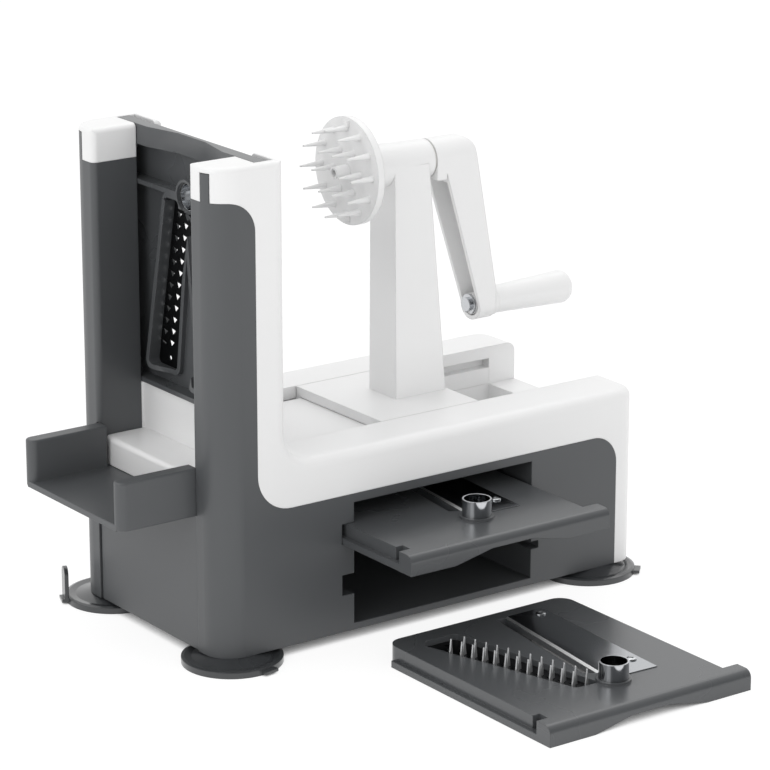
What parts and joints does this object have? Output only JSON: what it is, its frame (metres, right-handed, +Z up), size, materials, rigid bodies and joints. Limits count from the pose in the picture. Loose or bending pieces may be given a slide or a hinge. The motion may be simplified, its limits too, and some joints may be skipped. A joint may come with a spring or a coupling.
{
  "type": "spiralizer",
  "caption": "Hand cranked tabletop vegetable spiralizer: two posts hold a blade cassette, a sliding carriage carries a spiked disc on a crank, cassettes store in the base.",
  "frame": {"origin": "on the table, under the middle of the housing", "axes": "+X along the housing from the blade end to the crank end, +Z up, the storage opening faces -Y"},
  "size_m": [0.3004, 0.3063, 0.2445],
  "materials": {
    "white_plastic": "satin moulded plastic",
    "grey_plastic": "satin moulded plastic",
    "bush_plastic": "plain",
    "foot_rubber": "glossy soft rubber",
    "steel": "polished sheet steel"
  },
  "bodies": {
    "body": {"base_housing": "grey_plastic", "top_housing": "white_plastic", "catch_tray": "grey_plastic", "blade_end_cover": "grey_plastic", "crank_end_cover": "grey_plastic", "guide_rail_front": "white_plastic", "guide_rail_back": "white_plastic", "cover_screws": "steel", "housing_screws": "steel", "foot_blade_front": "foot_rubber", "foot_blade_back": "foot_rubber", "foot_crank_front": "foot_rubber", "foot_crank_back": "foot_rubber"},
    "carriage": {"carriage": "white_plastic", "bush_disc_side": "bush_plastic", "bush_crank_side": "bush_plastic"},
    "crank": {"drive_shaft": "steel", "food_disc": "white_plastic", "disc_screw": "steel", "crank_arm": "white_plastic"},
    "grip": {"grip": "white_plastic", "grip_pin": "steel", "pin_clip": "steel"},
    "fitted_cassette": {"coarse_cassette": "grey_plastic", "coarse_comb": "steel", "coarse_slicer": "steel", "coarse_corer": "steel", "coarse_screws": "steel"},
    "stored_cassette": {"ribbon_cassette": "grey_plastic", "ribbon_slicer": "steel", "ribbon_corer": "steel", "ribbon_screws": "steel"},
    "loose_cassette": {"fine_cassette": "grey_plastic", "fine_comb": "steel", "fine_slicer": "steel", "fine_corer": "steel", "fine_screws": "steel"}
  },
  "joints": [
    {"name": "carriage_slide", "type": "slide", "parent": "body", "child": "carriage", "axis": [1, 0, 0], "range_m": [-0.065, 0.063]},
    {"name": "crank_spin", "type": "hinge", "parent": "carriage", "child": "crank", "pos_m": [0.04, 0, 0.216], "axis": [1, 0, 0], "continuous": true},
    {"name": "grip_spin", "type": "hinge", "parent": "crank", "child": "grip", "pos_m": [0.1, 0, 0.136], "axis": [1, 0, 0], "continuous": true},
    {"name": "fitted_cassette_lift", "type": "slide", "parent": "body", "child": "fitted_cassette", "axis": [0, 0, 1], "range_m": [0, 0.131]},
    {"name": "stored_cassette_slide", "type": "slide", "parent": "body", "child": "stored_cassette", "axis": [0, 1, 0], "range_m": [-0.074, 0.046]},
    {"name": "loose_cassette_lift", "type": "slide", "parent": "body", "child": "loose_cassette", "axis": [0, 0, 1], "range_m": [0, 0.03]}
  ]
}
